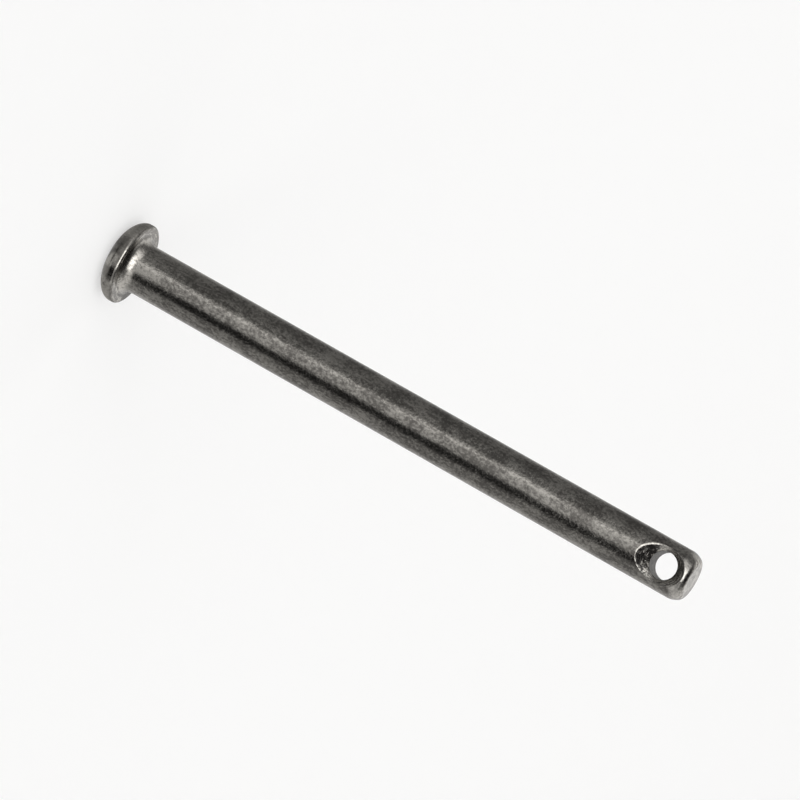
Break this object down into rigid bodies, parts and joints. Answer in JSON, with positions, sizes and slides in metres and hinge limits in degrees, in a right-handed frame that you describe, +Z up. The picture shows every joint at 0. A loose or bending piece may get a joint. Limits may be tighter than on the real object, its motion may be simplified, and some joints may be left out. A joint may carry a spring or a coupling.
{
  "type": "clevis pin",
  "caption": "Headed clevis pin with a plain round shank, a rounded disc head and a countersunk cross hole for a cotter near the chamfered point.",
  "frame": {"origin": "centre of the head's top face, on which the pin stands", "axes": "+Z runs up the pin from the head to the point, Y along the cross hole"},
  "size_m": [0.0078, 0.0078, 0.0604],
  "materials": {
    "plain_steel": "plain cold-headed steel with a dark oily film, semi-gloss, finely mottled"
  },
  "bodies": {
    "root": {"clevis_pin": "plain_steel"}
  },
  "joints": []
}
